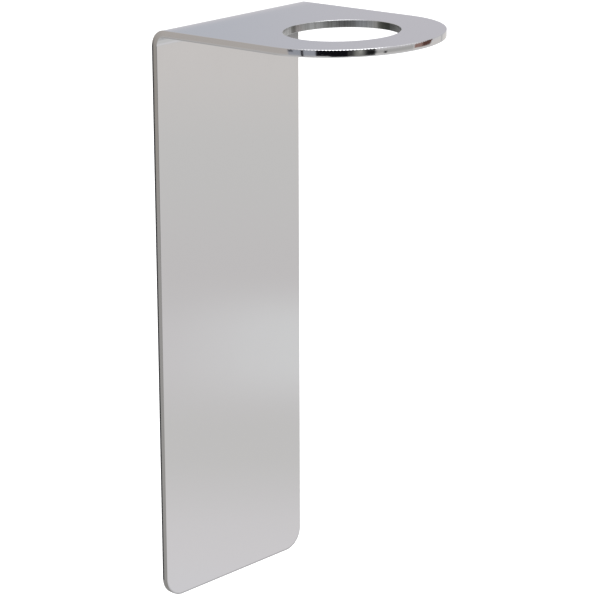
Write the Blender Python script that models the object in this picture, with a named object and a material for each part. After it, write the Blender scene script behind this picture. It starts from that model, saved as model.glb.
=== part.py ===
"""Soap dispenser holder for a wall: a folded sheet-metal bracket on strips of foam tape.

The bracket is one blank of polished sheet. It has a half-round nose, a round hole for a
bottle's neck and two rounded bottom corners, and it is folded once, into a tall plate with
a shelf. Three strips of double-sided foam tape behind the plate hold it on the wall.

Metres, +Z up. The wall is the plane y = 0 and the holder stands out from it towards -Y.
The origin lies on the wall, at the middle of the plate's width and height.
"""

import math

import bmesh
import bpy

# Sheet and fold
SHEET = 0.00225
INNER_BEND_RADIUS = 0.003
BEND_ANGLE = math.radians(88.0)

# Outline of the bracket
PLATE_WIDTH = 0.060
PLATE_HEIGHT = 0.180
CORNER_RADIUS = 0.0065
HOLE_DISTANCE = 0.048
NECK_HOLE_RADIUS = 0.017
EDGE_ROUNDING = 0.00035
NECK_EDGE_ROUNDING = 0.00015

# Foam tape
TAPE_LENGTH = 0.050
TAPE_WIDTH = 0.025
TAPE_THICKNESS = 0.0011
TAPE_CORNER_RADIUS = 0.0015
TAPE_SPACING = 0.068
CLEARANCE = 0.0003

# How finely the round stretches are divided
NOSE_STEPS = 48
HOLE_STEPS = 64
CORNER_STEPS = 8
BEND_STEPS = 11
ROUNDING_STEPS = 2
TAPE_CORNER_STEPS = 4

# Places that follow from the sizes above
MID_RADIUS = INNER_BEND_RADIUS + SHEET / 2
OUTER_BEND_RADIUS = INNER_BEND_RADIUS + SHEET
PLATE_BOTTOM = -PLATE_HEIGHT / 2
PLATE_BACK = -(TAPE_THICKNESS + CLEARANCE)
BEND_CENTRE_Y = PLATE_BACK - OUTER_BEND_RADIUS
BEND_CENTRE_Z = PLATE_BOTTOM + PLATE_HEIGHT - OUTER_BEND_RADIUS

# Distances up the flat blank, from its bottom edge
BEND_START = PLATE_HEIGHT - OUTER_BEND_RADIUS
BEND_END = BEND_START + MID_RADIUS * BEND_ANGLE
HOLE_CENTRE = BEND_END + HOLE_DISTANCE - OUTER_BEND_RADIUS

# Colour, roughness and metallic value of each material
FINISHES = {
    "chrome": ((0.72, 0.72, 0.735, 1.0), 0.08, 1.0),
    "foam": ((0.055, 0.056, 0.060, 1.0), 0.75, 0.0),
}


def clear_scene():
    """Remove whatever the open file holds."""
    for thing in list(bpy.data.objects):
        bpy.data.objects.remove(thing, do_unlink=True)


def material_for(piece_name, finish_name):
    """Give a piece its own material in the named finish."""
    colour, roughness, metallic = FINISHES[finish_name]
    material = bpy.data.materials.new(f"{piece_name}_{finish_name}")
    material.use_nodes = True
    shader = material.node_tree.nodes["Principled BSDF"]
    shader.inputs["Base Color"].default_value = colour
    shader.inputs["Roughness"].default_value = roughness
    shader.inputs["Metallic"].default_value = metallic
    material.diffuse_color = colour
    return material


def arc(centre, radius, start, end, steps):
    """Points on an arc in a plane, with both of its ends."""
    angles = [start + (end - start) * step / steps for step in range(steps + 1)]
    return [
        (centre[0] + radius * math.cos(angle), centre[1] + radius * math.sin(angle))
        for angle in angles
    ]


def blank_outline(inset):
    """Outer outline of the flat blank, counter-clockwise and drawn in by inset."""
    half = PLATE_WIDTH / 2 - inset
    corner = CORNER_RADIUS - inset
    side = PLATE_WIDTH / 2 - CORNER_RADIUS
    quarter = math.pi / 2
    left = arc((-side, CORNER_RADIUS), corner, 2 * quarter, 3 * quarter, CORNER_STEPS)
    right = arc((side, CORNER_RADIUS), corner, 3 * quarter, 4 * quarter, CORNER_STEPS)
    nose = arc((0.0, HOLE_CENTRE), half, 0.0, 2 * quarter, NOSE_STEPS)
    return left + right + nose


def neck_hole_outline(inset):
    """Outline of the neck hole, counter-clockwise and widened by inset."""
    circle = arc((0.0, HOLE_CENTRE), NECK_HOLE_RADIUS + inset, 0.0, 2 * math.pi, HOLE_STEPS)
    return circle[:-1]


def edge_profile(rounding):
    """Inset and height of the sheet's rounded edge, from its outer to its inner face."""
    straight = SHEET / 2 - rounding
    turn = [math.pi / 2 * step / ROUNDING_STEPS for step in range(ROUNDING_STEPS + 1)]
    upper = [
        (rounding * (1 - math.sin(angle)), straight + rounding * math.cos(angle))
        for angle in turn
    ]
    lower = [(inset, -height) for inset, height in reversed(upper)]
    return list(reversed(upper + lower))


def add_wall(mesh, outline, rounding):
    """Add the edge of the sheet along an outline; return its rings of vertices."""
    rings = []
    for inset, height in edge_profile(rounding):
        rings.append([mesh.verts.new((x, along, height)) for x, along in outline(inset)])
    for lower, upper in zip(rings, rings[1:]):
        count = len(lower)
        for index in range(count):
            after = (index + 1) % count
            mesh.faces.new((lower[index], lower[after], upper[after], upper[index]))
    return rings


def add_face(mesh, outer_ring, hole_ring):
    """Fill one face of the sheet between the outer outline and the neck hole."""
    edges = []
    for ring in (outer_ring, hole_ring):
        for index, vertex in enumerate(ring):
            edges.append(mesh.edges.get((vertex, ring[(index + 1) % len(ring)])))
    bmesh.ops.triangle_fill(mesh, use_beauty=True, use_dissolve=False, edges=edges)


def cut_for_bend(mesh):
    """Cut the flat blank across at each step of the fold."""
    for step in range(BEND_STEPS + 1):
        along = BEND_START + (BEND_END - BEND_START) * step / BEND_STEPS
        everything = mesh.verts[:] + mesh.edges[:] + mesh.faces[:]
        bmesh.ops.bisect_plane(
            mesh,
            geom=everything,
            dist=NECK_EDGE_ROUNDING / 50,
            plane_co=(0.0, along, 0.0),
            plane_no=(0.0, 1.0, 0.0),
        )


def folded(x, along, height):
    """Carry a point of the flat blank to its place on the folded sheet.

    Height is counted from the sheet's middle towards the inside of the bend. The middle
    keeps its length in the bend. Before the bend the angle is 0 and past it the angle is
    the full one, and the rest of the length runs straight on.
    """
    turn = min(max((along - BEND_START) / MID_RADIUS, 0.0), BEND_ANGLE)
    straight_run = along - BEND_START - turn * MID_RADIUS
    radius = MID_RADIUS - height
    y = BEND_CENTRE_Y + radius * math.cos(turn) - straight_run * math.sin(turn)
    z = BEND_CENTRE_Z + radius * math.sin(turn) + straight_run * math.cos(turn)
    return x, y, z


def finished_object(name, mesh, finish_name):
    """Turn a bmesh into a named object with its own material."""
    data = bpy.data.meshes.new(name)
    mesh.to_mesh(data)
    mesh.free()
    data.materials.append(material_for(name, finish_name))
    data.shade_smooth()
    data.set_sharp_from_angle(angle=math.radians(30.0))
    piece = bpy.data.objects.new(name, data)
    bpy.context.scene.collection.objects.link(piece)
    return piece


def make_bracket():
    """Cut the blank with its neck hole, then fold it into plate and shelf."""
    mesh = bmesh.new()
    outer_rings = add_wall(mesh, blank_outline, EDGE_ROUNDING)
    hole_rings = add_wall(mesh, neck_hole_outline, NECK_EDGE_ROUNDING)
    for side in (0, -1):
        add_face(mesh, outer_rings[side], hole_rings[side])
    cut_for_bend(mesh)
    bmesh.ops.recalc_face_normals(mesh, faces=mesh.faces)
    for vertex in mesh.verts:
        vertex.co = folded(*vertex.co)
    return finished_object("bracket", mesh, "chrome")


def make_tape_strip(name, height):
    """A strip of foam tape with rounded corners, flat on the wall at a height."""
    mesh = bmesh.new()
    side = TAPE_LENGTH / 2 - TAPE_CORNER_RADIUS
    rise = TAPE_WIDTH / 2 - TAPE_CORNER_RADIUS
    quarter = math.pi / 2
    corners = ((side, rise), (-side, rise), (-side, -rise), (side, -rise))
    outline = []
    for number, centre in enumerate(corners):
        start = number * quarter
        outline += arc(centre, TAPE_CORNER_RADIUS, start, start + quarter, TAPE_CORNER_STEPS)
    front = [mesh.verts.new((x, -TAPE_THICKNESS, height + z)) for x, z in outline]
    face = mesh.faces.new(front)
    extruded = bmesh.ops.extrude_face_region(mesh, geom=[face])
    for part in extruded["geom"]:
        if isinstance(part, bmesh.types.BMVert):
            part.co.y = 0.0
    bmesh.ops.recalc_face_normals(mesh, faces=mesh.faces)
    return finished_object(name, mesh, "foam")


def main():
    """Build the bracket and the three strips of tape that hold it."""
    clear_scene()
    make_bracket()
    make_tape_strip("upper_foam_tape", TAPE_SPACING)
    make_tape_strip("middle_foam_tape", 0.0)
    make_tape_strip("lower_foam_tape", -TAPE_SPACING)


main()
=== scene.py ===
"""Looks of a wall-mounted soap dispenser holder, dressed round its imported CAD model.

The bracket is one polished sheet, so its fine surface is worked out flat and then folded. A
point of the flat blank is (x, along, height): along is counted up the blank from its bottom
edge, and height from the middle of the sheet towards the inside of the bend. Three strips of
foam tape hold the bracket on its wall. The studio round it is a panorama that polished metal
mirrors, with a plain pale floor below.

Metres, +Z up. The wall is the plane y = 0 and the holder stands out from it towards -Y.
"""

from __future__ import annotations

import functools
import logging
import math
from dataclasses import dataclass, field
from enum import Enum
from typing import Any, Iterable, Sequence

import bpy
import numpy as np
from mathutils import Matrix, Vector


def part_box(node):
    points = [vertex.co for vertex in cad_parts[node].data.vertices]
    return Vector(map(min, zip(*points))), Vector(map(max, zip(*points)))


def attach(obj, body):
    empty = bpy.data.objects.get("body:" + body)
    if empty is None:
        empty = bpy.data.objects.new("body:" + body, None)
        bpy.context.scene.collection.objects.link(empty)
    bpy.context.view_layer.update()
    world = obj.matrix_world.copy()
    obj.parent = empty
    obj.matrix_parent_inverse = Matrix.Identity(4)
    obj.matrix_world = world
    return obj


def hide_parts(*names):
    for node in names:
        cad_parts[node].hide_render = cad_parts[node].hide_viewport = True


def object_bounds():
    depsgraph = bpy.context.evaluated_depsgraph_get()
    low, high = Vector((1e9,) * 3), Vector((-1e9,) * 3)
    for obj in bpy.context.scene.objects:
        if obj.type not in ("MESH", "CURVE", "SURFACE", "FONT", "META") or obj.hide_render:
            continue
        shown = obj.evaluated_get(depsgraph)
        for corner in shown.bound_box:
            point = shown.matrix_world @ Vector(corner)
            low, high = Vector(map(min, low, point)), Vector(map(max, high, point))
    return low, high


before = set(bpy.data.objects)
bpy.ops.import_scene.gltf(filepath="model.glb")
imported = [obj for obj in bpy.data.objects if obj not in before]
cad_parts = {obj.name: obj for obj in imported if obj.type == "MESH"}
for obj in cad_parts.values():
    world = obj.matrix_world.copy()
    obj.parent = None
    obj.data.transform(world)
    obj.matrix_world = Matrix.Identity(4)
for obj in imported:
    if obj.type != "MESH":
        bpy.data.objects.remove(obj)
CAD_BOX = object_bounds()

BODY = "root"
BRACKET_NODE = "bracket"
TAPE_NODES = ("upper_foam_tape", "middle_foam_tape", "lower_foam_tape")
MILLIMETRE = 0.001
QUARTER_TURN = math.pi / 2

log = logging.getLogger("holder")

Socket = bpy.types.NodeSocket
Colour = tuple[float, float, float]
Place = tuple[float, float, float]


class Slot(Enum):
    """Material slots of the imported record."""

    CHROME = "chrome"
    FOAM_TAPE = "foam_tape"


class Mark(Enum):
    """Values from 0 to 1 that a mesh carries at its points, for its finish to read."""

    CUT_EDGE = "cut_edge"
    PLATE_EDGE = "plate_edge"
    NECK_BORE = "neck_bore"
    # Dark reflections painted into the colour of the neck hole
    TARNISH = "tarnish"
    WEAR = "wear"
    WALL_SIDE = "wall_side"


# Shader nodes


class Value:
    """A number that flows through a node tree, so that shader maths reads as arithmetic."""

    def __init__(self, tree: Tree, socket: Socket) -> None:
        """Hold a socket of a tree."""
        self.tree = tree
        self.socket = socket

    def maths(self, operation: str, *numbers: Value | float) -> Value:
        """Add a Math node with an operation such as "ADD", and return its result."""
        node = self.tree.add("ShaderNodeMath", {"operation": operation}, dict(enumerate(numbers)))
        return Value(self.tree, node.outputs[0])

    def __add__(self, other: Value | float) -> Value:
        """Return self + other."""
        return self.maths("ADD", self, other)

    def __sub__(self, other: Value | float) -> Value:
        """Return self - other."""
        return self.maths("SUBTRACT", self, other)

    def __rsub__(self, other: float) -> Value:
        """Return other - self."""
        return self.maths("SUBTRACT", other, self)

    def __mul__(self, other: Value | float) -> Value:
        """Return self * other."""
        return self.maths("MULTIPLY", self, other)

    def __mod__(self, other: Value | float) -> Value:
        """Return the remainder of self / other, from 0 up to other."""
        return self.maths("FLOORED_MODULO", self, other)

    def __abs__(self) -> Value:
        """Return self without its sign."""
        return self.maths("ABSOLUTE", self)

    def highest(self, other: Value | float) -> Value:
        """Return the larger of self and other."""
        return self.maths("MAXIMUM", self, other)

    def rise(self, start: float, end: float) -> Value:
        """Go smoothly from 0 to 1 while self goes from start to end.

        Args:
            start: Where the result is 0.
            end: Where the result is 1. It may be below start.

        Returns:
            The eased value.
        """
        low, high = min(start, end), max(start, end)
        first, last = (0.0, 1.0) if end > start else (1.0, 0.0)
        node = self.tree.add(
            "ShaderNodeMapRange",
            {"interpolation_type": "SMOOTHSTEP"},
            {"Value": self, "From Min": low, "From Max": high, "To Min": first, "To Max": last},
        )
        return Value(self.tree, node.outputs[0])

    __radd__ = __add__


class Tree:
    """Builds one node tree."""

    MIX_FACTOR, MIX_FIRST, MIX_SECOND, MIX_RESULT = 0, 6, 7, 2

    def __init__(self, owner: bpy.types.Material | bpy.types.World) -> None:
        """Clear the owner's node tree and build in it.

        Args:
            owner: The material or world.
        """
        owner.use_nodes = True
        self.nodes = owner.node_tree.nodes
        self.links = owner.node_tree.links
        self.nodes.clear()

    def add(
        self,
        kind: str,
        settings: dict[str, Any] | None = None,
        inputs: dict[str | int, Any] | None = None,
    ) -> bpy.types.Node:
        """Add a node, set it up, and then fill its sockets.

        Args:
            kind: The node's type.
            settings: Its properties by name. "stops" holds a ramp's (place, colour) pairs.
            inputs: What each socket takes, a value or a link, by name or number.

        Returns:
            The new node.
        """
        node = self.nodes.new(kind)
        for name, setting in (settings or {}).items():
            if name == "stops":
                self._fill_ramp(node.color_ramp, setting)
            else:
                setattr(node, name, setting)
        for key, given in (inputs or {}).items():
            target = node.inputs[key]
            if isinstance(given, Value):
                self.links.new(given.socket, target)
            elif isinstance(given, Socket):
                self.links.new(given, target)
            else:
                target.default_value = given
        return node

    @staticmethod
    def _fill_ramp(ramp: bpy.types.ColorRamp, stops: Sequence[tuple[float, Colour]]) -> None:
        """Give a ramp its stops.

        Args:
            ramp: The ramp of a new node.
            stops: The place of each stop, in rising order, and its colour.
        """
        ramp.interpolation = "EASE"
        while len(ramp.elements) < len(stops):
            ramp.elements.new(1.0)
        for element, (place, colour) in zip(ramp.elements, stops):
            element.position = place
            element.color = (*colour, 1.0)

    def value(self, kind: str, settings: dict | None = None, inputs: dict | None = None) -> Value:
        """Add a node and return its first output as a value."""
        return Value(self, self.add(kind, settings, inputs).outputs[0])

    def mark(self, mark: Mark) -> Value:
        """Read a mark that the mesh carries."""
        node = self.add("ShaderNodeAttribute", {"attribute_name": mark.value})
        return Value(self, node.outputs["Fac"])

    def noise(self, places: Socket, grain: Grain) -> Value:
        """Add soft noise from 0 to 1, read at the places."""
        pattern = {"Scale": grain.scale, "Detail": grain.detail, "Distortion": grain.stir}
        return self.value("ShaderNodeTexNoise", None, {"Vector": places, **pattern})

    def blotches(self, places: Socket, grain: Grain) -> Value:
        """Add noise that rises from 0 to 1 within the pattern's band."""
        return self.noise(places, grain).rise(*grain.band)

    def mix(self, share: Value, first: Any, second: Any) -> Socket:
        """Mix two colours.

        Args:
            share: How much of the second there is.
            first: A colour or a socket.
            second: A colour or a socket.

        Returns:
            The mixed colour's socket.
        """
        given = {self.MIX_FACTOR: share, self.MIX_FIRST: first, self.MIX_SECOND: second}
        for key in (self.MIX_FIRST, self.MIX_SECOND):
            if isinstance(given[key], tuple):
                given[key] = (*given[key], 1.0)
        node = self.add("ShaderNodeMix", {"data_type": "RGBA"}, given)
        return node.outputs[self.MIX_RESULT]

    def surface(self, colour: Socket, metallic: float, roughness: Value, height: Value) -> None:
        """End a material in a Principled shader whose normals follow the fine surface.

        Args:
            colour: Base colour.
            metallic: 1 for metal and 0 for anything else.
            roughness: From 0 to 1.
            height: How far the fine surface stands out, in metres.
        """
        bump = self.add("ShaderNodeBump", None, {"Distance": 1.0, "Height": height}).outputs[0]
        inputs = {"Base Color": colour, "Metallic": metallic, "Roughness": roughness, "Normal": bump}
        shader = self.add("ShaderNodeBsdfPrincipled", None, inputs)
        self.add("ShaderNodeOutputMaterial", None, {"Surface": shader.outputs[0]})


def new_material(name: str) -> tuple[bpy.types.Material, Tree]:
    """Make an empty material, with the builder of its node tree."""
    material = bpy.data.materials.new(name)
    return material, Tree(material)


# Finishes


@dataclass(frozen=True)
class Grain:
    """A pattern of noise.

    Attributes:
        scale: Blotches per metre.
        detail: How many finer layers it has.
        stir: How far it is stirred.
        band: The noise's values between which a mask made from it rises from 0 to 1.
    """

    scale: float
    detail: float
    stir: float = 0.0
    band: tuple[float, float] = (0.0, 1.0)


@dataclass(frozen=True)
class PolishedChrome:
    """Bright chrome on polished sheet: a mirror with faint haze, hairlines and ripple, and dark
    reflections painted into the neck hole.

    Attributes:
        colour: How much light the clean metal gives back.
        edge_colour: The same on the cut edges of the shelf.
        plate_edge_colour: The same on the cut edges of the plate, which are plated more thinly.
        bore_colour: The same in the neck hole.
        streak_colour: The same along the streaks that the cutter left in the neck hole.
        painted_reflection_colour: The same where dark reflections are painted into the neck hole.
        worn_colour: The same where an edge is worn.
        roughness: Of the polished faces.
        edge_roughness: Added on the cut edges.
        bore_roughness: Added in the neck hole, which is cut and not buffed.
        wall_side_roughness: Added behind the plate, which is only lightly polished.
        haze: Roughness added where buffing left a bloom.
        blooms: Pattern of the blooms.
        hairline: Roughness added along the hairlines.
        hairline_scale: How fine the hairlines are across and along the blank, per metre.
        hairline_turns: Directions of the sets of hairlines, in radians.
        hairline_shift: How far apart the sets are read in the noise, so that they differ.
        hairline_grain: Pattern that is drawn out into hairlines.
        ripples: Pattern of the waves in the cut edges.
        ripple_height: Height of those waves.
        peel: Pattern of the waves in the polished faces.
        peel_height: Height of those waves.
        streaks: Pattern of the streaks round the neck hole.
        streak_height: Height of the streaks.
    """

    colour: Colour = (0.72, 0.72, 0.735)
    edge_colour: Colour = (0.71, 0.71, 0.725)
    plate_edge_colour: Colour = (0.52, 0.52, 0.52)
    bore_colour: Colour = (0.545, 0.56, 0.565)
    streak_colour: Colour = (0.42, 0.43, 0.43)
    # Colour of the dark reflections painted into the neck hole
    painted_reflection_colour: Colour = (0.15, 0.16, 0.145)
    worn_colour: Colour = (0.32, 0.32, 0.325)
    roughness: float = 0.035
    edge_roughness: float = 0.03
    bore_roughness: float = 0.24
    wall_side_roughness: float = 0.12
    haze: float = 0.02
    blooms: Grain = Grain(45.0, 3.0, 0.6, (0.45, 0.75))
    hairline: float = 0.02
    hairline_scale: tuple[float, float, float] = (5200.0, 60.0, 1.0)
    hairline_turns: tuple[float, ...] = (0.0, 0.12, -0.35)
    hairline_shift: float = 7.3
    hairline_grain: Grain = Grain(1.0, 0.0, 0.0, (0.74, 0.80))
    ripples: Grain = Grain(160.0, 1.5)
    ripple_height: float = 0.004 * MILLIMETRE
    peel: Grain = Grain(420.0, 1.0)
    peel_height: float = 0.00018 * MILLIMETRE
    streaks: Grain = Grain(2600.0, 3.0, 0.0, (0.42, 0.62))
    streak_height: float = 0.003 * MILLIMETRE

    def material(self, name: str, uv_map: str) -> bpy.types.Material:
        """Make the chrome for a piece.

        Args:
            name: The material's name.
            uv_map: The UV map that holds places on the flat blank, in metres.

        Returns:
            The material.
        """
        material, tree = new_material(name)
        solid = tree.add("ShaderNodeTexCoord").outputs["Object"]
        blank = tree.add("ShaderNodeUVMap", {"uv_map": uv_map}).outputs[0]
        edge, plate_edge, bore, tarnish, wear, behind = (tree.mark(mark) for mark in Mark)

        roughness = (
            self.roughness
            + tree.blotches(solid, self.blooms) * self.haze
            + self._hairlines(tree, blank) * self.hairline
            + edge * self.edge_roughness
            + bore * self.bore_roughness
            + behind * self.wall_side_roughness
        )
        # All heights of the neck hole share a place on the blank, so this runs up and down there
        streaks = tree.noise(blank, self.streaks)
        shelf = tree.mix(edge, self.colour, self.edge_colour)
        plate = tree.mix(plate_edge, shelf, self.plate_edge_colour)
        worn = tree.mix(wear, plate, self.worn_colour)
        drilled = tree.mix(streaks.rise(*self.streaks.band), self.bore_colour, self.streak_colour)
        # The neck hole's colour carries painted dark reflections where its marked stretches are
        # darkened
        colour = tree.mix(bore, worn, tree.mix(tarnish, drilled, self.painted_reflection_colour))

        ripples = tree.noise(solid, self.ripples) * edge * self.ripple_height
        peel = tree.noise(solid, self.peel) * self.peel_height
        height = ripples + peel + streaks * bore * self.streak_height
        tree.surface(colour, 1.0, roughness, height)
        return material

    def _hairlines(self, tree: Tree, blank: Socket) -> Value:
        """Draw sparse fine lines: noise stretched along the blank and cut off near its top.

        Args:
            tree: The material's node tree.
            blank: Places on the flat blank.

        Returns:
            1 on the lines and 0 beside them.
        """
        sets = []
        for number, turn in enumerate(self.hairline_turns):
            stretch = {"Vector": blank, "Scale": self.hairline_scale, "Rotation": (0.0, 0.0, turn)}
            stretched = tree.add("ShaderNodeMapping", None, stretch).outputs[0]
            shift = {0: stretched, 1: (0.0, 0.0, self.hairline_shift * number)}
            apart = tree.add("ShaderNodeVectorMath", {"operation": "ADD"}, shift).outputs[0]
            sets.append(tree.blotches(apart, self.hairline_grain))
        return functools.reduce(Value.highest, sets)


@dataclass(frozen=True)
class FoamTape:
    """Dark grey acrylic foam tape: closed cells on its cut sides, tacky skins on its faces.

    Attributes:
        colour: Of the foam.
        light_colour: Of the thin cell walls that catch the light.
        skin_colour: Of the tacky faces.
        foam_roughness: Of the cut sides.
        skin_roughness: Of the tacky faces, at the least.
        skin_spread: Added to that in the dullest blotches.
        skin_band: The mottle's values between which it is added.
        cell_scale: Cells per metre.
        cell_band: Distances from a cell's middle, as shares of its size, where its wall rises.
        cell_depth: How deep the cut cells are.
        mottle: Pattern of blotches in the skins.
        skin_depth: How uneven the skins are.
    """

    colour: Colour = (0.055, 0.056, 0.060)
    light_colour: Colour = (0.13, 0.13, 0.14)
    skin_colour: Colour = (0.062, 0.063, 0.068)
    foam_roughness: float = 0.85
    skin_roughness: float = 0.42
    skin_spread: float = 0.2
    skin_band: tuple[float, float] = (0.3, 0.7)
    cell_scale: float = 5200.0
    cell_band: tuple[float, float] = (0.35, 0.75)
    cell_depth: float = 0.03 * MILLIMETRE
    mottle: Grain = Grain(260.0, 4.0, 0.4, (0.35, 0.75))
    skin_depth: float = 0.012 * MILLIMETRE

    def material(self, name: str) -> bpy.types.Material:
        """Make the foam tape's material.

        Args:
            name: The material's name.

        Returns:
            The material.
        """
        material, tree = new_material(name)
        solid = tree.add("ShaderNodeTexCoord").outputs["Object"]
        cut = tree.mark(Mark.CUT_EDGE)
        cells = tree.value("ShaderNodeTexVoronoi", None, {"Vector": solid, "Scale": self.cell_scale})
        mottle = tree.noise(solid, self.mottle)
        foam = tree.mix(cells.rise(*self.cell_band), self.colour, self.light_colour)
        skin = tree.mix(mottle.rise(*self.mottle.band), self.skin_colour, self.colour)
        rough_skin = self.skin_roughness + mottle.rise(*self.skin_band) * self.skin_spread
        roughness = rough_skin + cut * (self.foam_roughness - rough_skin)
        height = cells * cut * self.cell_depth + mottle * (1.0 - cut) * self.skin_depth
        tree.surface(tree.mix(cut, skin, foam), 0.0, roughness, height)
        return material


# Surfaces


@dataclass(frozen=True)
class Wave:
    """One of the waves that add up to a wandering line.

    Attributes:
        across: Radians per millimetre along the first axis.
        up: Radians per millimetre along the second axis.
        phase: Its phase where both are 0, in radians.
    """

    across: float
    up: float = 0.0
    phase: float = 0.0


def wandering(places: np.ndarray, waves: Sequence[Wave]) -> np.ndarray:
    """Sum of the waves at each place, each the sine of its rates times the place plus its phase."""
    first, second = places.T / MILLIMETRE
    return sum(np.sin(wave.across * first + wave.up * second + wave.phase) for wave in waves)


def arc(start: float, end: float, steps: int) -> np.ndarray:
    """Unit vectors (cos a, sin a) at evenly spaced angles a, both ends included."""
    angles = np.linspace(start, end, steps + 1)
    return np.stack([np.cos(angles), np.sin(angles)], axis=-1)


def climb(places: np.ndarray, start: float, end: float) -> np.ndarray:
    """Go evenly from 0 at the start to 1 at the end, and stay so past them."""
    return np.clip((places - start) / (end - start), 0.0, 1.0)


def add_object(name: str, data: bpy.types.ID) -> bpy.types.Object:
    """Make an object and put it into the scene.

    Args:
        name: The object's name.
        data: Its mesh, lamp or camera.

    Returns:
        The object.
    """
    made = bpy.data.objects.new(name, data)
    bpy.context.scene.collection.objects.link(made)
    return made


@dataclass
class Patch:
    """A stretch of surface on a grid.

    Attributes:
        points: Places, three numbers a row.
        normals: Unit normals, one for each point.
        faces: Corners of the four-sided faces, as point numbers.
        marks: Values at the points, by mark.
    """

    points: np.ndarray
    normals: np.ndarray
    faces: np.ndarray
    marks: dict[Mark, np.ndarray]

    @classmethod
    def from_grid(
        cls,
        points: np.ndarray,
        normals: np.ndarray,
        marks: dict[Mark, np.ndarray] | None = None,
        closed: bool = False,
        flipped: bool = False,
    ) -> Patch:
        """Make a patch from a grid of points.

        Face (i, j) joins points (i, j), (i, j + 1), (i + 1, j + 1) and (i + 1, j).

        Args:
            points: Places, in an array of rows x columns x 3.
            normals: Normals in the same layout, or one for all.
            marks: Values that the grid carries, each an array that fits rows x columns.
            closed: Whether the last column joins the first.
            flipped: Whether the corners are listed the other way round.

        Returns:
            The patch.
        """
        rows, columns = points.shape[:2]
        numbers = np.arange(rows * columns).reshape(rows, columns)
        if closed:
            numbers = np.concatenate([numbers, numbers[:, :1]], axis=1)
        corners = [numbers[:-1, :-1], numbers[:-1, 1:], numbers[1:, 1:], numbers[1:, :-1]]
        faces = np.stack(corners[::-1] if flipped else corners, axis=-1).reshape(-1, 4)
        shape = (rows, columns)
        marks = {mark: np.broadcast_to((marks or {}).get(mark, 0.0), shape).ravel() for mark in Mark}
        spread = np.broadcast_to(normals, points.shape)
        return cls(points.reshape(-1, 3), spread.reshape(-1, 3), faces, marks)

    @classmethod
    def welded(cls, patches: Iterable[Patch], reach: float = 1e-4 * MILLIMETRE) -> Patch:
        """Join patches and merge the points that they share.

        Points merge where their places, counted in steps of reach, are the same whole numbers.

        Args:
            patches: The patches. Where points merge, those of an earlier patch stay.
            reach: The size of a step.

        Returns:
            One patch.
        """
        patches = list(patches)
        starts = np.cumsum([0] + [len(patch.points) for patch in patches])
        points = np.concatenate([patch.points for patch in patches])
        faces = np.concatenate([patch.faces + start for patch, start in zip(patches, starts)])
        # Round sizes lie on whole or half steps, and this keeps them off the border between two
        off_the_half = 0.37
        steps = np.rint(points / reach + off_the_half).astype(np.int64)
        _, first, merged = np.unique(steps, axis=0, return_index=True, return_inverse=True)
        normals = np.concatenate([patch.normals for patch in patches])
        marks = {
            mark: np.concatenate([patch.marks[mark] for patch in patches])[first] for mark in Mark
        }
        return cls(points[first], normals[first], merged.reshape(-1)[faces], marks)

    def as_object(
        self,
        name: str,
        marks: Sequence[Mark],
        uv: tuple[str, np.ndarray] | None = None,
        exact_normals: bool = False,
    ) -> bpy.types.Object:
        """Put the patch into a mesh object at the origin.

        Args:
            name: The object's name.
            marks: Which marks the mesh keeps.
            uv: A UV map's name, and a pair of numbers for each point.
            exact_normals: Whether the mesh is shaded with the patch's own normals.

        Returns:
            The new object, in the scene.
        """
        mesh = bpy.data.meshes.new(name)
        mesh.from_pydata(self.points.tolist(), [], self.faces.tolist())
        mesh.shade_smooth()
        for mark in marks:
            attribute = mesh.attributes.new(mark.value, "FLOAT", "POINT")
            attribute.data.foreach_set("value", self.marks[mark].astype(np.float32))
        if uv is not None:
            corners = np.zeros(len(mesh.loops), np.int32)
            mesh.loops.foreach_get("vertex_index", corners)
            layer = mesh.uv_layers.new(name=uv[0])
            layer.data.foreach_set("uv", uv[1][corners].astype(np.float32).ravel())
        if exact_normals:
            mesh.normals_split_custom_set_from_vertices(self.normals.tolist())
        return add_object(name, mesh)


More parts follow.
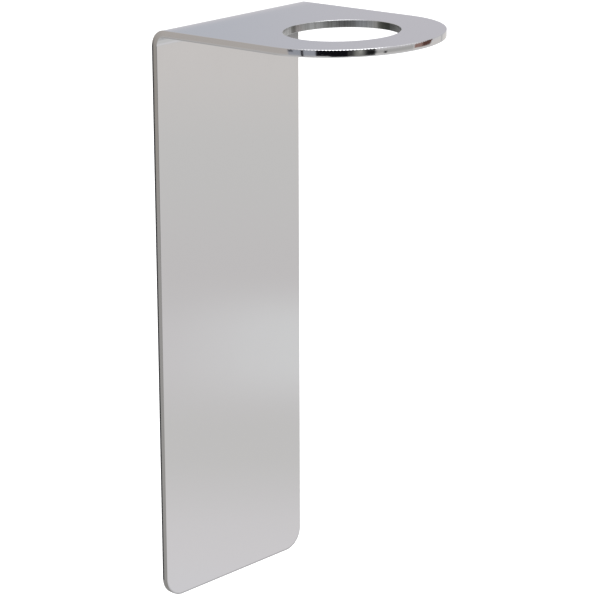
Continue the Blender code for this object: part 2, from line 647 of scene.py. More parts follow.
@dataclass(frozen=True)
class EdgeProfile:
    """Section of a sheet's cut edge, from its outer to its inner face.

    It is a shallow bulge between two rounded arrises that run smoothly into the faces. At the
    angle a of the normal above the sheet's middle plane, the bulge of radius R lies at height
    R sin a and inset R (1 - cos a), and each arris is a quarter round of its own radius. A flat
    lip joins each arris to its face.

    Attributes:
        thickness: Of the sheet.
        bulge: Angle by which the edge's normal tilts where it meets an arris, in radians.
        face_inset: Inset where the faces begin, which is past the arrises.
        arris_steps: Faces round an arris.
        bulge_steps: Faces across the bulge.
    """

    thickness: float
    bulge: float
    face_inset: float
    arris_steps: int = 8
    bulge_steps: int = 6

    def tilts(self) -> np.ndarray:
        """Angle of the normal above the middle plane, at each point of the section.

        Returns:
            The angles in radians, from the outer to the inner face.
        """
        lower = np.linspace(-QUARTER_TURN, -self.bulge, self.arris_steps + 1)
        middle = np.linspace(-self.bulge, self.bulge, self.bulge_steps + 1)
        rising = np.concatenate([lower, middle[1:-1], -lower[::-1]])
        return np.concatenate([rising[:1], rising, rising[-1:]])

    def section(self, tilts: np.ndarray, arris: np.ndarray) -> tuple[np.ndarray, np.ndarray]:
        """Inset from the outline and height above the middle plane.

        Args:
            tilts: Angles of the normal above the middle plane.
            arris: Radius of the arris on their side of it, in an array that fits them.

        Returns:
            The insets and the heights.
        """
        half_bulge = self.thickness / 2 - arris * (1 - math.sin(self.bulge))
        radius = half_bulge / math.sin(self.bulge)
        held = np.clip(tilts, -self.bulge, self.bulge)
        inset = radius * (1 - np.cos(held)) + arris * (np.cos(held) - np.cos(tilts))
        height = radius * np.sin(held) + arris * (np.sin(tilts) - np.sin(held))
        return inset, height

    def swept(
        self,
        outline: np.ndarray,
        outward: np.ndarray,
        marks: dict[Mark, np.ndarray | float],
        outer_arris: np.ndarray | float,
        inner_arris: np.ndarray | float,
        wear: np.ndarray | float = 0.0,
    ) -> Patch:
        """Carry the section along a closed outline of the flat blank.

        A point is the outline's point less the inset along its outward direction, at the
        section's height. Its normal is the outward direction turned up by the tilt.

        Args:
            outline: Points (x, along), counter-clockwise round the metal, or clockwise
                round a hole.
            outward: The directions away from the metal at those points.
            marks: What the middle of the edge is marked with, for all points or for each.
                The marks fade to 0 at the faces.
            outer_arris: Radius of the arris on the outside of the bend, for all or for each.
            inner_arris: Radius of the arris on the inside of the bend, for all or for each.
            wear: How worn the edge is, for all or for each. Wear fades to 0 across the lips.

        Returns:
            The edge as a patch.
        """
        tilts = self.tilts()[:, None]
        shape = (len(tilts), len(outline))
        arris = np.broadcast_to(np.where(tilts < 0, outer_arris, inner_arris), shape)
        inset, height = self.section(tilts, arris)
        inset[[0, -1]] = self.face_inset
        flat = outline[None] - inset[..., None] * outward[None]
        points = np.concatenate([flat, height[..., None]], axis=-1)
        sideways = np.cos(tilts)[..., None] * outward[None]
        upright = np.broadcast_to(np.sin(tilts), shape)[..., None]
        normals = np.concatenate([sideways, upright], axis=-1)
        share = np.cos(tilts) ** 2
        spread = {mark: share * np.broadcast_to(amount, shape) for mark, amount in marks.items()}
        spread[Mark.WEAR] = np.broadcast_to(wear, shape).copy()
        spread[Mark.WEAR][[0, -1]] = 0.0
        return Patch.from_grid(points, normals, spread, closed=True)


# The bracket


@dataclass(frozen=True)
class PaintedReflectionSpot:
    """A stretch of the neck hole darkened by a painted dark reflection.

    Attributes:
        angle: Where its middle is round the hole, in degrees from the right towards the nose.
        half_width: Half its width, in degrees.
        strength: How dark the painted reflection is, up to 1.
    """

    angle: float
    half_width: float
    strength: float


@dataclass
class Bracket:
    """The folded sheet: a tall plate, one bend, and a round-nosed shelf with a neck hole.

    Attributes:
        width: Across the plate.
        plate_back: Where the back of the plate lies along Y.
        plate_bottom: Where its bottom edge lies along Z.
        height: From the bottom edge to the top of the bend.
        sheet: Thickness of the sheet.
        inner_bend_radius: Inside of the bend.
        bend_angle: How far the shelf is folded over, in radians.
        corner_radius: Of the two bottom corners.
        hole_distance: From the back of the plate to the middle of the neck hole, along the shelf.
        hole_radius: Of the neck hole.
        arris: Radius of the rounded outer edges.
        plate_arris: Radius of the plate's front edges, which were left sharper.
        lip: Least width of the flat strip that joins a rounded edge to the face.
        bore_arris: Radius of the rounded edges of the neck hole.
        bore_lip: Width of the flat strip in the neck hole.
        run_out: How far past the bend the top of the shelf is still slightly curved.
        run_out_tilt: Tilt of the top where the bend ends, in radians.
        edge_bulge: Angle by which buffing has rounded the outer cut edge, in radians.
        bore_bulge: The same in the neck hole.
        chatter_waves: Marks that the cutter left round a full turn of the nose.
        chatter_crest: Share of its radius that the arris keeps at the marks.
        chatter_trough: Share that it keeps between them.
        chatter_fade: Angle over which the marks fade in at each end of the nose, in radians.
        painted_reflection_spots: Stretches of the neck hole darkened by painted dark reflections.
        spot_fade: Width of their borders, in degrees.
        wear: How worn the bottom edge is, up to 1.
        wear_waver: How much each wave adds to that or takes from it.
        wear_waves: Waves by which the wear differs along the edge.
        finish: Of the sheet.
    """

    width: float
    plate_back: float
    plate_bottom: float
    height: float = 180.0 * MILLIMETRE
    sheet: float = 2.25 * MILLIMETRE
    inner_bend_radius: float = 3.0 * MILLIMETRE
    bend_angle: float = math.radians(88.0)
    corner_radius: float = 6.5 * MILLIMETRE
    hole_distance: float = 48.0 * MILLIMETRE
    hole_radius: float = 17.0 * MILLIMETRE
    arris: float = 0.35 * MILLIMETRE
    plate_arris: float = 0.10 * MILLIMETRE
    lip: float = 0.30 * MILLIMETRE
    bore_arris: float = 0.15 * MILLIMETRE
    bore_lip: float = 0.05 * MILLIMETRE
    run_out: float = 11.0 * MILLIMETRE
    run_out_tilt: float = math.radians(2.0)
    edge_bulge: float = math.radians(4.0)
    bore_bulge: float = math.radians(1.5)
    chatter_waves: int = 190
    chatter_crest: float = 0.85
    chatter_trough: float = 0.25
    chatter_fade: float = math.radians(20.0)
    # Spots of painted dark reflection round the neck hole
    painted_reflection_spots: tuple[PaintedReflectionSpot, ...] = (
        PaintedReflectionSpot(3.5, 6.5, 1.0),
        PaintedReflectionSpot(22.0, 10.0, 0.5),
        PaintedReflectionSpot(261.0, 2.5, 0.6),
    )
    spot_fade: float = 3.0
    wear: float = 0.9
    wear_waver: float = 0.05
    wear_waves: tuple[Wave, ...] = (Wave(1.3), Wave(2.9, 0.0, 1.0))
    finish: PolishedChrome = field(default_factory=PolishedChrome)

    COLUMNS = 64
    CORNER_STEPS = 24
    PLATE_STEPS = 48
    BEND_STEPS = 40
    SHELF_STEPS = 24
    NOSE_STEPS = 570
    RING_STEPS = 12
    UV_MAP = "flat_blank"

    @classmethod
    def from_frame(cls) -> Bracket:
        """Take the bracket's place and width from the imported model."""
        low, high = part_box(BRACKET_NODE)
        return cls(width=high.x - low.x, plate_back=high.y, plate_bottom=low.z)

    @property
    def middle_radius(self) -> float:
        """Radius of the bend at the middle of the sheet."""
        return self.inner_bend_radius + self.sheet / 2

    @property
    def outer_radius(self) -> float:
        """Outside of the bend."""
        return self.inner_bend_radius + self.sheet

    @property
    def bend_start(self) -> float:
        """Where the bend starts, along the blank."""
        return self.height - self.outer_radius

    @property
    def bend_end(self) -> float:
        """Where the bend ends, along the blank."""
        return self.bend_start + self.middle_radius * self.bend_angle

    @property
    def hole_along(self) -> float:
        """Where the neck hole's middle lies, along the blank."""
        return self.bend_end + self.hole_distance - self.outer_radius

    def edge(self) -> EdgeProfile:
        """Section of the outer cut edge."""
        return EdgeProfile(self.sheet, self.edge_bulge, self.arris + self.lip)

    def bore(self) -> EdgeProfile:
        """Section of the neck hole's edge."""
        return EdgeProfile(self.sheet, self.bore_bulge, self.bore_arris + self.bore_lip)

    def outline(self) -> tuple[np.ndarray, np.ndarray]:
        """Outer outline of the flat blank, counter-clockwise from the bottom left corner.

        Straight stretches have evenly spaced points except along the bottom, whose points
        stand in line with the columns of the plate. Corners and nose are arcs.

        Returns:
            Points (x, along), and the outward direction at each.
        """
        half = self.width / 2
        side = half - self.corner_radius
        columns = self.columns()
        bottom = np.stack([side * columns, 0 * columns], axis=-1)
        down = np.broadcast_to((0.0, -1.0), bottom.shape)
        right, out_right = self._right_side()
        out_nose = arc(0.0, math.pi, self.NOSE_STEPS)[1:-1]
        nose = (0.0, self.hole_along) + half * out_nose
        mirrored = np.array((-1.0, 1.0))
        left, out_left = right[::-1] * mirrored, out_right[::-1] * mirrored
        points = np.concatenate([bottom[:-1], right, nose, left[:-1]])
        outward = np.concatenate([down[:-1], out_right, out_nose, out_left[:-1]])
        return points, outward

    def columns(self) -> np.ndarray:
        """Places from -1 to 1 across the sheet, in line with rays from the neck hole's middle."""
        widest = math.atan2(self.width / 2, self.hole_along - self.bend_end)
        return np.tan(np.linspace(-widest, widest, self.COLUMNS + 1)) / math.tan(widest)

    def _right_side(self) -> tuple[np.ndarray, np.ndarray]:
        """Right side of the outline, from the bottom corner's start up to the nose.

        Returns:
            Points (x, along), and the outward direction at each.
        """
        half, corner = self.width / 2, self.corner_radius
        out_corner = arc(-QUARTER_TURN, 0.0, self.CORNER_STEPS)
        turned = (half - corner, corner) + corner * out_corner
        stretches = (
            np.linspace(corner, self.bend_start, self.PLATE_STEPS + 1)[1:],
            np.linspace(self.bend_start, self.bend_end, self.BEND_STEPS + 1)[1:],
            np.linspace(self.bend_end, self.hole_along, self.SHELF_STEPS + 1)[1:],
        )
        along = np.concatenate(stretches)
        straight = np.stack([np.full(len(along), half), along], axis=-1)
        out_straight = np.broadcast_to((1.0, 0.0), straight.shape)
        return np.concatenate([turned, straight]), np.concatenate([out_corner, out_straight])

    def _face_side(self) -> np.ndarray:
        """Right border of a face: the right side, drawn in to where the arris begins."""
        points, outward = self._right_side()
        return points - self.edge().face_inset * outward

    def _plate_grid(self) -> np.ndarray:
        """Plate and bend of one face: each row spans the sheet at one place along it.

        Returns:
            Places (x, along), rows by columns.
        """
        border = self._face_side()[: -self.SHELF_STEPS]
        across = border[:, :1] * self.columns()[None]
        along = np.broadcast_to(border[:, 1:], across.shape)
        return np.stack([across, along], axis=-1)

    def _shelf_border(self) -> np.ndarray:
        """Closed border of the shelf's face, counter-clockwise from the bend's left end.

        Returns:
            Points (x, along).
        """
        bend_line = self._plate_grid()[-1]
        side = self._face_side()[-self.SHELF_STEPS :]
        radius = self.width / 2 - self.edge().face_inset
        nose = arc(0.0, math.pi, self.NOSE_STEPS)[1:-1] * radius + (0.0, self.hole_along)
        return np.concatenate([bend_line, side, nose, side[::-1] * (-1.0, 1.0)])

    def _neck_rays(self) -> np.ndarray:
        """Directions from the neck hole's middle to the points of the shelf's border."""
        rays = self._shelf_border() - (0.0, self.hole_along)
        return rays / np.linalg.norm(rays, axis=1, keepdims=True)

    def _shelf_grid(self) -> np.ndarray:
        """Shelf of one face: rows of rings that go over from its border to the neck hole.

        Returns:
            Places (x, along), rings by rays. The last ray is next to the first.
        """
        border = self._shelf_border()
        radius = self.hole_radius + self.bore().face_inset
        hole = (0.0, self.hole_along) + radius * self._neck_rays()
        share = np.linspace(0.0, 1.0, self.RING_STEPS + 1)[:, None, None]
        return border[None] * (1.0 - share) + hole[None] * share

    def _face(self, up: float) -> list[Patch]:
        """One face of the flat blank.

        The dull finish behind the plate fades out just below the bend, over its outer radius.

        Args:
            up: 1 for the inside of the bend, -1 for the outside.

        Returns:
            Its two patches.
        """
        made = []
        for grid, closed in ((self._plate_grid(), False), (self._shelf_grid(), True)):
            along = grid[..., 1]
            height = np.full((*along.shape, 1), up * self.sheet / 2)
            points = np.concatenate([grid, height], axis=-1)
            normals, behind = np.array((0.0, 0.0, up)), 0.0
            if up < 0:
                normals = self.top_normals(along)
                behind = climb(along, self.bend_start, self.bend_start - self.outer_radius)
            marks = {Mark.WALL_SIDE: behind}
            made.append(Patch.from_grid(points, normals, marks, closed, flipped=up < 0))
        return made

    def top_normals(self, along: np.ndarray) -> np.ndarray:
        """Normals of the outer face, which doesn't go over from bend to shelf at one line.

        They tilt back towards the plate, evenly more through the bend, and then less with the
        square of what is left of the run-out. A sheet curved so strays from flat by under
        0.2 mm, so the mesh stays flat there and only the normals show it.

        Args:
            along: Places along the blank.

        Returns:
            The normals.
        """
        coming = climb(along, self.bend_start, self.bend_end)
        going = climb(along, self.bend_end + self.run_out, self.bend_end) ** 2
        tilt = self.run_out_tilt * coming * going
        return np.stack([np.zeros_like(tilt), -np.sin(tilt), -np.cos(tilt)], axis=-1)

    def flat(self) -> Patch:
        """The whole surface of the flat blank.

        Returns:
            Its two faces, its outer edge and the neck hole's edge, closed.
        """
        outline, outward = self.outline()
        rays = self._neck_rays()[::-1]
        on_plate = climb(outline[:, 1], self.bend_end, self.bend_start)
        rim = self.edge().swept(
            outline,
            outward,
            {Mark.CUT_EDGE: 1.0, Mark.PLATE_EDGE: on_plate},
            outer_arris=self.arris * self.chatter(outline),
            inner_arris=self.arris + (self.plate_arris - self.arris) * on_plate,
            wear=self.foot_wear(outline, outward),
        )
        # The neck hole's edge carries the painted dark reflections
        bore = self.bore().swept(
            (0.0, self.hole_along) + self.hole_radius * rays,
            -rays,
            {Mark.CUT_EDGE: 1.0, Mark.NECK_BORE: 1.0, Mark.TARNISH: self.tarnish(rays)},
            outer_arris=self.bore_arris,
            inner_arris=self.bore_arris,
        )
        return Patch.welded([*self._face(1.0), *self._face(-1.0), rim, bore])

    def foot_wear(self, outline: np.ndarray, outward: np.ndarray) -> np.ndarray:
        """How worn the edge is along the bottom, where the holder is stood and handled.

        It is the wear, which wavers along the edge, times how far the edge faces down.

        Args:
            outline: Points (x, along).
            outward: The directions away from the metal at those points.

        Returns:
            The amounts, from 0 to 1.
        """
        wear = self.wear + self.wear_waver * wandering(outline, self.wear_waves)
        return np.clip(-outward[:, 1], 0.0, 1.0) * wear

    def tarnish(self, rays: np.ndarray) -> np.ndarray:
        """How much painted dark reflection the neck hole carries in each direction from its middle.

        It is the sum over the spots of painted reflection. Each is full up to its half width from its
        middle, and goes down evenly to 0 over the fade.

        Args:
            rays: Directions (x, along).

        Returns:
            The amounts, from 0 to 1.
        """
        middle, half_width, strength = np.array(
            [(spot.angle, spot.half_width, spot.strength) for spot in self.painted_reflection_spots]
        ).T
        half_turn = 180.0
        angle = np.degrees(np.arctan2(rays[:, 1], rays[:, 0]))[:, None]
        apart = np.abs((angle - middle + half_turn) % (2 * half_turn) - half_turn)
        present = np.clip((half_width - apart) / self.spot_fade + 1.0, 0.0, 1.0)
        return np.clip((strength * present).sum(axis=1), 0.0, 1.0)

    def chatter(self, outline: np.ndarray) -> np.ndarray:
        """Share of its radius that the shelf's upper arris keeps at each point of the outline.

        Round the nose it swings between the crest and the trough, as the cosine of the angle
        about the neck hole's middle times the number of marks. At each end of the nose it goes
        over to 1 with the sine of that angle, and it stays 1 on the straight sides.

        Args:
            outline: Points (x, along).

        Returns:
            The shares.
        """
        x, along = (outline - (0.0, self.hole_along)).T
        angle = np.arctan2(along, x)
        swing = (1.0 + np.cos(self.chatter_waves * angle)) / 2
        kept = self.chatter_trough + (self.chatter_crest - self.chatter_trough) * swing
        present = np.clip(np.sin(angle) / math.sin(self.chatter_fade), 0.0, 1.0)
        return 1.0 - present * (1.0 - kept)

    def folded(self, blank: Patch) -> Patch:
        """Fold the blank.

        The middle of the sheet keeps its length in the bend. At the angle t of the bend, a
        point at a height above the middle lies at the radius middle_radius - height from the
        bend's axis, and what is left of its length runs straight on. The directions along and
        height turn with t, and so do the normals.

        Args:
            blank: The flat surface, as (x, along, height).

        Returns:
            The folded surface, as (x, y, z).
        """
        x, along, height = blank.points.T
        turn = np.clip((along - self.bend_start) / self.middle_radius, 0.0, self.bend_angle)
        rest = along - self.bend_start - turn * self.middle_radius
        radius = self.middle_radius - height
        sine, cosine = np.sin(turn), np.cos(turn)
        axis_y = self.plate_back - self.outer_radius
        axis_z = self.plate_bottom + self.height - self.outer_radius
        y = axis_y + radius * cosine - rest * sine
        z = axis_z + radius * sine + rest * cosine
        across, onward, up = blank.normals.T
        normals = [across, -onward * sine - up * cosine, onward * cosine - up * sine]
        return Patch(np.stack([x, y, z], -1), np.stack(normals, -1), blank.faces, blank.marks)

    def build(self) -> bpy.types.Object:
        """Make the bracket's object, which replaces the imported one.

        Returns:
            The object.
        """
        blank = self.flat()
        uv = (self.UV_MAP, blank.points[:, :2])
        piece = self.folded(blank).as_object("polished_bracket", tuple(Mark), uv, exact_normals=True)
        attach(piece, BODY)
        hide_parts(BRACKET_NODE)
        return piece

    def dress(self, piece: bpy.types.Object) -> None:
        """Give the bracket its finish."""
        piece.data.materials.append(self.finish.material("polished_chrome", self.UV_MAP))


# The tape


@dataclass
class TapeStrip:
    """A strip of foam tape between the wall and the plate: a foam core and two tacky skins.

    Attributes:
        node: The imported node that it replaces.
        low: Lowest corner of its space.
        high: Highest corner of its space.
        corner_radius: Of its four corners.
        skin: Thickness of each tacky skin.
        draw_in: How far the foam lies behind the skins on the cut sides, next to them.
        hollow: How much further it lies back half way through, as a share of draw_in.
        waver: How far the cut wanders.
        knife_waves: Waves that add up to the wandering.
        finish: Of the tape.
    """

    node: str
    low: Vector
    high: Vector
    corner_radius: float = 1.5 * MILLIMETRE
    skin: float = 0.07 * MILLIMETRE
    draw_in: float = 0.09 * MILLIMETRE
    hollow: float = 0.35
    waver: float = 0.05 * MILLIMETRE
    knife_waves: tuple[Wave, ...] = (Wave(0.9, 0.4), Wave(-1.3, 2.1, 1.0), Wave(3.7, 2.9))
    finish: FoamTape = field(default_factory=FoamTape)

    COLUMNS = 60
    CORNER_STEPS = 12
    SIDE_STEPS = 30
    CORE_STEPS = 8
    SMOOTH_ANGLE = math.radians(38.0)

    @classmethod
    def from_frame(cls, node: str, plate_back: float) -> TapeStrip:
        """Take a strip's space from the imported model, out to the plate that it sticks to."""
        low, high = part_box(node)
        return cls(node, Vector((low.x, plate_back, low.z)), high)

    def _border(self) -> tuple[np.ndarray, np.ndarray]:
        """Right side of the outline, from bottom to top.

        Returns:
            Points (x, z), and the outward direction at each.
        """
        half_x, half_z = (self.high.x - self.low.x) / 2, (self.high.z - self.low.z) / 2
        corner = self.corner_radius
        rising = np.linspace(corner - half_z, half_z - corner, self.SIDE_STEPS + 1)[1:-1]
        out_low = arc(-QUARTER_TURN, 0.0, self.CORNER_STEPS)
        lower = (half_x - corner, corner - half_z) + corner * out_low
        straight = np.stack([np.full(len(rising), half_x), rising], axis=-1)
        flip = np.array((1.0, -1.0))
        out = [out_low, np.broadcast_to((1.0, 0.0), straight.shape), out_low[::-1] * flip]
        return np.concatenate([lower, straight, lower[::-1] * flip]), np.concatenate(out)

    def _outline(self) -> tuple[np.ndarray, np.ndarray]:
        """Closed outline, counter-clockwise seen from in front.

        Returns:
            Points (x, z), and the outward direction at each.
        """
        border, out_border = self._border()
        across = np.linspace(-1.0, 1.0, self.COLUMNS + 1)[1:-1, None]
        bottom = np.concatenate([across * border[0, 0], np.full_like(across, border[0, 1])], -1)
        top = bottom[::-1] * (1.0, -1.0)
        down = np.broadcast_to((0.0, -1.0), bottom.shape)
        flip = np.array((-1.0, 1.0))
        points = np.concatenate([bottom, border, top, border[::-1] * flip])
        return points, np.concatenate([down, out_border, -down, out_border[::-1] * flip])

    def _section(self) -> tuple[np.ndarray, np.ndarray]:
        """Section of the cut side, from the wall to the plate.

        The skins are upright, and the foam's inset rises and falls between them as a sine.

        Returns:
            Distances from the wall, and the insets there.
        """
        thickness = self.high.y - self.low.y
        core = np.linspace(self.skin, thickness - self.skin, self.CORE_STEPS + 1)
        deeper = 1.0 + self.hollow * np.sin(math.pi * (core / thickness))
        depth = np.concatenate([[0.0, self.skin], core, [thickness - self.skin, thickness]])
        inset = np.concatenate([[0.0, 0.0], self.draw_in * deeper, [0.0, 0.0]])
        return depth, inset

    def _wander(self, outline: np.ndarray) -> np.ndarray:
        """How far the knife strayed inwards at each point, from 0 to waver."""
        waves = wandering(outline, self.knife_waves)
        return self.waver * (waves / len(self.knife_waves) + 1.0) / 2

    def build(self) -> bpy.types.Object:
        """Make the strip's object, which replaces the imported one.

        The cut side is the section carried round the outline, less the knife's wander. Each
        face is a grid whose rows span the strip, with the same wander at its border.

        Returns:
            The object.
        """
        outline, outward = self._outline()
        depth, inset = self._section()
        centre = (self.low + self.high) / 2
        drawn = outline - self._wander(outline)[:, None] * outward
        ring = drawn[None] - inset[:, None, None] * outward[None]
        y = np.broadcast_to(self.high.y - depth[:, None], ring.shape[:2])
        side_points = np.stack([centre.x + ring[..., 0], y, centre.z + ring[..., 1]], axis=-1)
        foam = np.where(inset > 0.0, 1.0, 0.0)[:, None]
        # The strip is shaded by its faces, so its patches' normals aren't used
        unused = np.array((0.0, 0.0, 1.0))
        patches = [Patch.from_grid(side_points, unused, {Mark.CUT_EDGE: foam}, closed=True)]
        face = self._face_grid(drawn)
        for place, flipped in ((self.high.y, True), (self.low.y, False)):
            x, z = centre.x + face[..., 0], centre.z + face[..., 1]
            points = np.stack([x, np.full_like(x, place), z], axis=-1)
            patches.insert(0, Patch.from_grid(points, unused, flipped=flipped))
        piece = Patch.welded(patches).as_object(f"{self.node}_strip", (Mark.CUT_EDGE,))
        piece.data.set_sharp_from_angle(angle=self.SMOOTH_ANGLE)
        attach(piece, BODY)
        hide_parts(self.node)
        return piece

    def _face_grid(self, drawn: np.ndarray) -> np.ndarray:
        """Rows across the strip between matching points of its two sides.

        Args:
            drawn: The outline as cut, in the order of _outline.

        Returns:
            Places (x, z), rows by columns. The first and last rows are the outline's own.
        """
        across = self.COLUMNS - 1
        count = len(self._border()[0])
        right = drawn[across : across + count]
        left = drawn[2 * across + count :][::-1]
        share = np.linspace(0.0, 1.0, self.COLUMNS + 1)[None, :, None]
        grid = left[:, None] * (1.0 - share) + right[:, None] * share
        grid[0, 1:-1] = drawn[:across]
        grid[-1, 1:-1] = drawn[across + count : 2 * across + count][::-1]
        return grid

    def dress(self, piece: bpy.types.Object) -> None:
        """Give the strip its finish."""
        piece.data.materials.append(self.finish.material(f"{self.node}_foam"))


# The studio


@dataclass(frozen=True)
class Panel:
    """Something that stands in the studio, as polished metal sees it.

    Attributes:
        name: What it is.
        azimuth: Direction of its middle, in degrees from +X towards +Y.
        elevation: Height of its middle above the horizon, in degrees.
        half_width: Half its width, in degrees of azimuth.
        half_height: Half its height, in degrees.
        colour: Its light.
        blur_sideways: How wide its left and right borders are, in degrees.
        blur_upright: How wide its top and bottom borders are, in degrees.
        taper: How much lower half its height gets with each degree of azimuth past its middle.
    """

    name: str
    azimuth: float
    elevation: float
    half_width: float
    half_height: float
    colour: Colour
    blur_sideways: float = 2.0
    blur_upright: float = 2.0
    taper: float = 0.0

    def mask(self, azimuth: Value, elevation: Value) -> Value:
        """How much of the panel shows in a direction.

        Args:
            azimuth: The direction's azimuth, in degrees.
            elevation: Its elevation, in degrees.

        Returns:
            1 inside the panel and 0 outside it.
        """
        full, half = 360.0, 180.0
        sideways = (azimuth + (full + half - self.azimuth)) % full - half
        upright = abs(elevation - self.elevation) + sideways.highest(0.0) * self.taper
        inside = abs(sideways).rise(self.half_width + self.blur_sideways, self.half_width)
        return inside * upright.rise(self.half_height + self.blur_upright, self.half_height)


@dataclass(frozen=True)
class Lamp:
    """A soft square lamp that points at the object and isn't mirrored in it.

    Attributes:
        name: What it is.
        place: Where it is.
        size: Its side.
        power: Its power in watts.
    """

    name: str
    place: Place
    size: float
    power: float

    def add(self) -> None:
        """Put the lamp into the scene."""
        data = bpy.data.lights.new(self.name, "AREA")
        data.size = self.size
        data.energy = self.power
        lamp = add_object(self.name, data)
        lamp.location = self.place
        lamp.rotation_euler = Vector(self.place).to_track_quat("Z", "Y").to_euler()
        lamp.visible_glossy = False


@dataclass
class Studio:
    """Floor, lamps, camera and the panorama that metal mirrors.

    Attributes:
        floor_drop: How far below the object the floor lies.
        floor_half: Half the floor's side.
        floor_colour: Of the floor.
        floor_glow: Light that the camera sees added to the floor, so that it is white.
        ambient: Light from all round on what isn't a mirror.
    """

    floor_drop: float = 0.14
    floor_half: float = 6.0
    floor_colour: Colour = (0.80, 0.80, 0.80)
    floor_glow: float = 0.45
    ambient: Colour = (0.80, 0.80, 0.81)

    LAMPS = (
        Lamp("key_lamp", (-0.9, -1.1, 1.5), 1.2, 14.0),
        Lamp("fill_lamp", (1.3, -0.8, 0.9), 1.4, 6.0),
        Lamp("back_lamp", (0.3, 1.4, 1.0), 1.2, 8.0),
    )

    # From the nadir to the zenith: the elevation in degrees, and the light there
    GRADIENT = (
        (-90.0, (0.62, 0.62, 0.62)),
        (-40.0, (0.70, 0.70, 0.69)),
        (-24.0, (0.82, 0.81, 0.82)),
        (-23.05, (0.82, 0.80, 0.80)),
        (-20.75, (0.72, 0.71, 0.69)),
        (-18.7, (0.76, 0.74, 0.735)),
        (-17.2, (0.71, 0.69, 0.68)),
        (-14.5, (0.72, 0.71, 0.69)),
        (-12.0, (0.775, 0.745, 0.715)),
        (-6.0, (0.74, 0.73, 0.73)),
        (9.0, (0.597, 0.587, 0.625)),
        (28.0, (0.65, 0.65, 0.67)),
        (90.0, (0.75, 0.75, 0.75)),
    )

    PANELS = (
        Panel("overhead", 0.0, 90.0, 180.0, 22.0, (3.5, 3.5, 3.5), 2.0, 8.0),
        Panel("softbox", 233.0, 64.0, 41.0, 18.0, (3.5, 3.5, 3.5), 4.0, 5.0),
        Panel("window", 319.0, -18.6, 2.6, 0.3, (0.82, 0.82, 0.81), 3.6, 1.3),
        Panel("backdrop", 48.0, -14.0, 16.0, 12.0, (1.0, 1.0, 1.01), 10.0, 10.0),
        Panel("room_corner", 3.0, -10.0, 1.0, 8.0, (0.58, 0.58, 0.58), 3.0, 4.0),
        Panel("blue_wall", 52.0, 10.7, 3.0, 2.4, (0.504, 0.533, 0.588), 8.0, 3.0),
        Panel("warm_side", 118.0, 18.0, 43.0, 32.0, (0.54, 0.505, 0.472), 6.0, 5.0),
        Panel("low_side", 160.0, -21.0, 30.0, 4.0, (0.56, 0.545, 0.53), 5.0, 3.0),
        Panel("floor_card", 92.0, -40.0, 46.0, 14.0, (0.50, 0.487, 0.472), 5.0, 4.0),
        Panel("dark_wall", 96.0, -19.0, 33.0, 6.5, (0.05, 0.05, 0.055), 3.0, 3.0),
        Panel("cool_side", 178.5, -2.0, 16.0, 11.0, (0.375, 0.39, 0.43), 2.0, 7.0),
        Panel("dark_corner", 164.5, -4.0, 1.8, 3.5, (0.13, 0.135, 0.15), 2.5, 3.0),
        Panel("lamp_stand", 178.4, -7.0, 1.1, 10.0, (0.02, 0.02, 0.022), 0.6, 3.0),
        Panel("dim_wall", 243.0, -2.0, 15.0, 13.0, (0.045, 0.045, 0.045), 2.0, 4.0),
        Panel("pale_card", 282.5, -8.5, 22.5, 1.5, (0.49, 0.485, 0.47), 3.5, 6.0),
        Panel("dark_room", 211.3, 3.0, 16.9, 18.0, (0.006, 0.006, 0.008), 0.8, 2.5),
        Panel("skirt", 219.5, -17.0, 8.0, 1.5, (0.01, 0.01, 0.012), 4.0, 2.0),
        Panel("grey_screen", 241.3, -2.0, 1.2, 13.0, (0.265, 0.265, 0.245), 8.0, 5.0),
        Panel("screen_streak", 242.3, 2.0, 0.8, 7.0, (0.36, 0.36, 0.33), 1.8, 9.0),
        Panel("dark_gap", 254.6, -8.5, 2.5, 1.5, (0.01, 0.01, 0.01), 5.0, 4.5),
        Panel("dark_knob", 270.5, -10.5, 0.9, 1.5, (0.02, 0.02, 0.02), 1.6, 2.0),
        Panel("card_foot", 325.0, -11.4, 9.0, 0.4, (0.27, 0.27, 0.265), 0.3, 0.25),
        Panel("warm_card", 318.5, -8.0, 10.0, 3.0, (0.33, 0.21, 0.18), 0.8, 0.6),
        Panel("card_shade", 328.0, -7.7, 5.0, 2.6, (0.12, 0.06, 0.048), 5.0, 0.8),
        Panel("card_tip", 335.5, -0.8, 7.0, 7.0, (0.12, 0.06, 0.048), 1.2, 1.2, 0.75),
        Panel("small_lamp", 311.0, 40.0, 14.0, 15.0, (1.5, 1.5, 1.5), 5.0, 5.0),
    )

    # The camera, fitted to the outline of the object in a frame of 600 x 600
    AIM = Vector((0.013584, -0.0194, 0.000954))
    DISTANCE = 0.79840
    AZIMUTH = math.radians(-46.5498)
    ELEVATION = math.radians(17.5912)
    ROLL = math.radians(-0.1963)
    SENSOR = 36.0
    LENS = 155.589

    def add_camera(self) -> None:
        """Add the camera and make it the scene's."""
        data = bpy.data.cameras.new("camera")
        data.sensor_width = self.SENSOR
        data.lens = self.LENS
        camera = add_object("camera", data)
        sine, cosine = math.sin(self.AZIMUTH), math.cos(self.AZIMUTH)
        flat = math.cos(self.ELEVATION)
        back = Vector((sine * flat, -cosine * flat, math.sin(self.ELEVATION)))
        level = Vector((cosine, sine, 0.0))
        level.rotate(Matrix.Rotation(self.ROLL, 3, back))
        axes = Matrix((level, back.cross(level), back)).transposed()
        camera.matrix_world = Matrix.Translation(self.AIM + back * self.DISTANCE) @ axes.to_4x4()
        bpy.context.scene.camera = camera

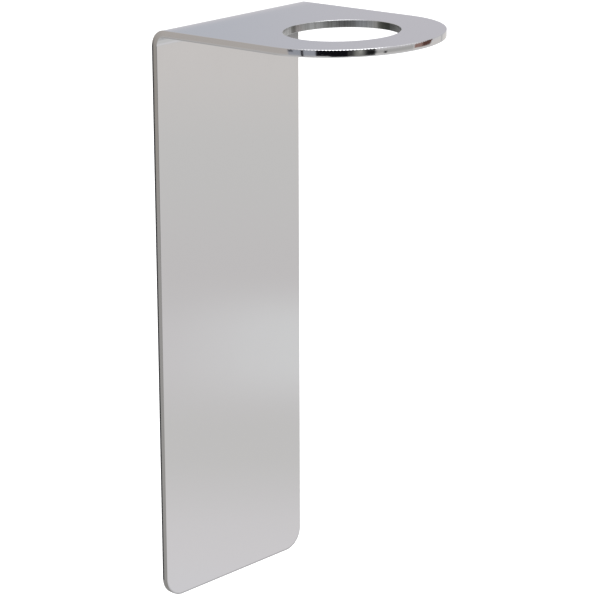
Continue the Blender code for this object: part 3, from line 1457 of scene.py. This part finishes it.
    def add_floor(self) -> None:
        """Add the pale floor, which shows white to the camera and keeps soft shadows."""
        drop = CAD_BOX[0].z - self.floor_drop
        span = self.floor_half
        mesh = bpy.data.meshes.new("floor")
        corners = [(-span, -span, drop), (span, -span, drop), (span, span, drop), (-span, span, drop)]
        mesh.from_pydata(corners, [], [(0, 1, 2, 3)])
        floor = add_object("floor", mesh)
        floor.visible_glossy = False
        material, tree = new_material("pale_floor")
        matt = tree.add("ShaderNodeBsdfDiffuse", None, {"Color": (*self.floor_colour, 1.0)}).outputs[0]
        glow = tree.add("ShaderNodeEmission", None, {"Strength": self.floor_glow}).outputs[0]
        lifted = tree.add("ShaderNodeAddShader", None, {0: matt, 1: glow}).outputs[0]
        seen = tree.add("ShaderNodeLightPath").outputs["Is Camera Ray"]
        chosen = tree.add("ShaderNodeMixShader", None, {0: seen, 1: matt, 2: lifted}).outputs[0]
        tree.add("ShaderNodeOutputMaterial", None, {"Surface": chosen})
        mesh.materials.append(material)

    def add_panorama(self) -> None:
        """Make the world: white behind the object, soft light all round, panels in the metal."""
        world = bpy.data.worlds.new("studio")
        bpy.context.scene.world = world
        tree = Tree(world)
        direction = tree.add("ShaderNodeTexCoord").outputs["Generated"]
        parts = tree.add("ShaderNodeSeparateXYZ", None, {0: direction}).outputs
        x, y, z = (Value(tree, part) for part in parts)
        degrees = math.degrees(1.0)
        azimuth = x.maths("ARCTAN2", y, x) * degrees
        elevation = z.maths("ARCSINE", z) * degrees
        lowest, highest = self.GRADIENT[0][0], self.GRADIENT[-1][0]
        span = highest - lowest
        share = (elevation - lowest) * (1.0 / span)
        stops = [((level - lowest) / span, colour) for level, colour in self.GRADIENT]
        light = tree.add("ShaderNodeValToRGB", {"stops": stops}, {"Fac": share}).outputs[0]
        for panel in self.PANELS:
            light = tree.mix(panel.mask(azimuth, elevation), light, panel.colour)
        path = tree.add("ShaderNodeLightPath").outputs
        mirrored = Value(tree, path["Is Glossy Ray"])
        clear = Value(tree, path["Is Camera Ray"]).highest(Value(tree, path["Is Transmission Ray"]))
        lit = tree.mix(mirrored, self.ambient, light)
        shown = tree.mix(clear, lit, (1.0, 1.0, 1.0))
        background = tree.add("ShaderNodeBackground", None, {"Color": shown})
        tree.add("ShaderNodeOutputWorld", None, {"Surface": background.outputs[0]})

    def build(self) -> None:
        """Build the whole studio."""
        bpy.context.scene.view_settings.view_transform = "Standard"
        self.add_camera()
        self.add_floor()
        for lamp in self.LAMPS:
            lamp.add()
        self.add_panorama()


def main() -> None:
    """Build the studio, the bracket and its tape."""
    logging.basicConfig(level=logging.INFO, format="%(name)s: %(message)s")
    Studio().build()
    bracket = Bracket.from_frame()
    strips = [TapeStrip.from_frame(node, bracket.plate_back) for node in TAPE_NODES]
    for part in (bracket, *strips):
        piece = part.build()
        part.dress(piece)
        mesh = piece.data
        log.info("%s: %d points, %d faces", piece.name, len(mesh.vertices), len(mesh.polygons))


if __name__ == "__main__":
    main()
